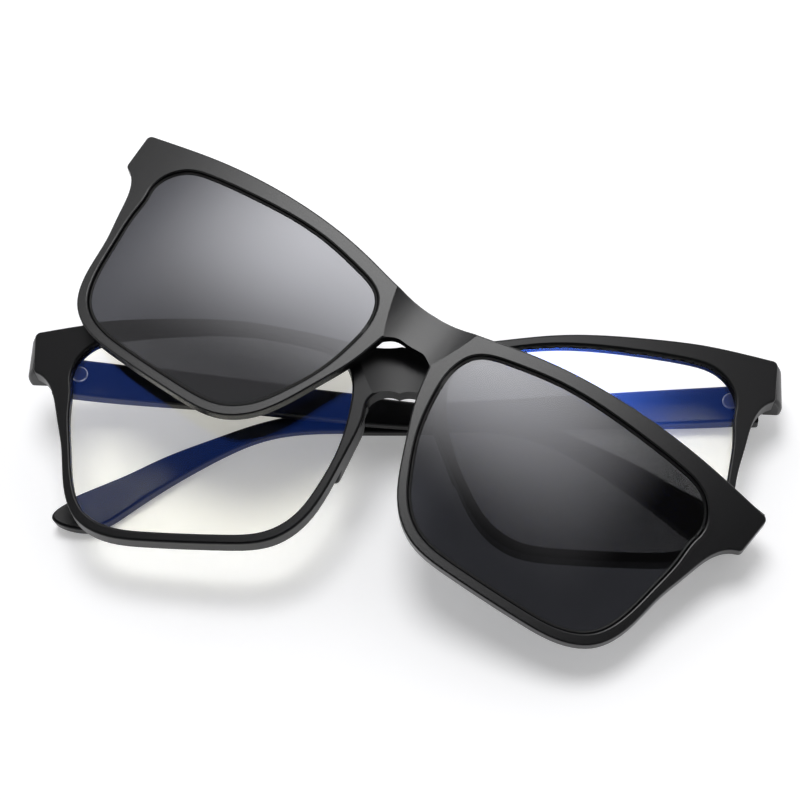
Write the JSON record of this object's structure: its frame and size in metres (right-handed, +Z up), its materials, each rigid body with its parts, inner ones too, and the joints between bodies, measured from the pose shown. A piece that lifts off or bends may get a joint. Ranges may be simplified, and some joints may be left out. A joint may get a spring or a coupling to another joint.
{
  "type": "eyeglasses with magnetic clip-on sun lenses",
  "caption": "Rectangular black full-rim glasses with folding temples and a magnetic tinted clip-on front, lying on a table with the clip askew on top.",
  "frame": {"origin": "middle of the bounding box, at the level of the table that the folded glasses lie on", "axes": "+Z up from the table, +X along the front to the viewer's right, +Y away from the viewer, towards the brow's side"},
  "size_m": [0.146, 0.1004, 0.0333],
  "materials": {
    "frame_black": "satin black moulded thermoplastic with a fine grain",
    "temple_black": "satin black moulded thermoplastic",
    "clip_black": "satin black moulded thermoplastic, slightly glossier",
    "clear_lens": "clear polished lens with a faint yellow transmission and blue-violet coating",
    "tinted_lens": "polished grey tinted lens",
    "hinge_steel": "nickel-coloured hinge metal",
    "stud_metal": "nickel-coloured stud head",
    "magnet_metal": "nickel-plated magnet"
  },
  "bodies": {
    "front": {"front_frame": "frame_black", "left_lens": "clear_lens", "right_lens": "clear_lens", "left_front_hinge_leaf": "hinge_steel", "right_front_hinge_leaf": "hinge_steel", "left_hinge_screw": "hinge_steel", "right_hinge_screw": "hinge_steel", "left_frame_magnet": "magnet_metal", "right_frame_magnet": "magnet_metal"},
    "left_temple": {"left_temple": "temple_black", "left_temple_hinge_leaf": "hinge_steel", "left_hinge_stud": "stud_metal"},
    "right_temple": {"right_temple": "temple_black", "right_temple_hinge_leaf": "hinge_steel", "right_hinge_stud": "stud_metal"},
    "clip": {"clip_frame": "clip_black", "left_clip_lens": "tinted_lens", "right_clip_lens": "tinted_lens", "left_clip_magnet": "magnet_metal", "right_clip_magnet": "magnet_metal"}
  },
  "joints": [
    {"name": "left_temple_fold", "type": "hinge", "parent": "front", "child": "left_temple", "pos_m": [-0.06895, 0.00433, 0.01272], "axis": [0, 0.9792, 0.2028], "range_deg": [0, 88.8]},
    {"name": "right_temple_fold", "type": "hinge", "parent": "front", "child": "right_temple", "pos_m": [0.06886, 0.0058, 0.00565], "axis": [0, -0.9792, -0.2028], "range_deg": [0, 86.1]},
    {"name": "clip_lift", "type": "slide", "parent": "front", "child": "clip", "axis": [0.0523, -0.2025, 0.9779], "range_m": [0, 0.03]}
  ]
}
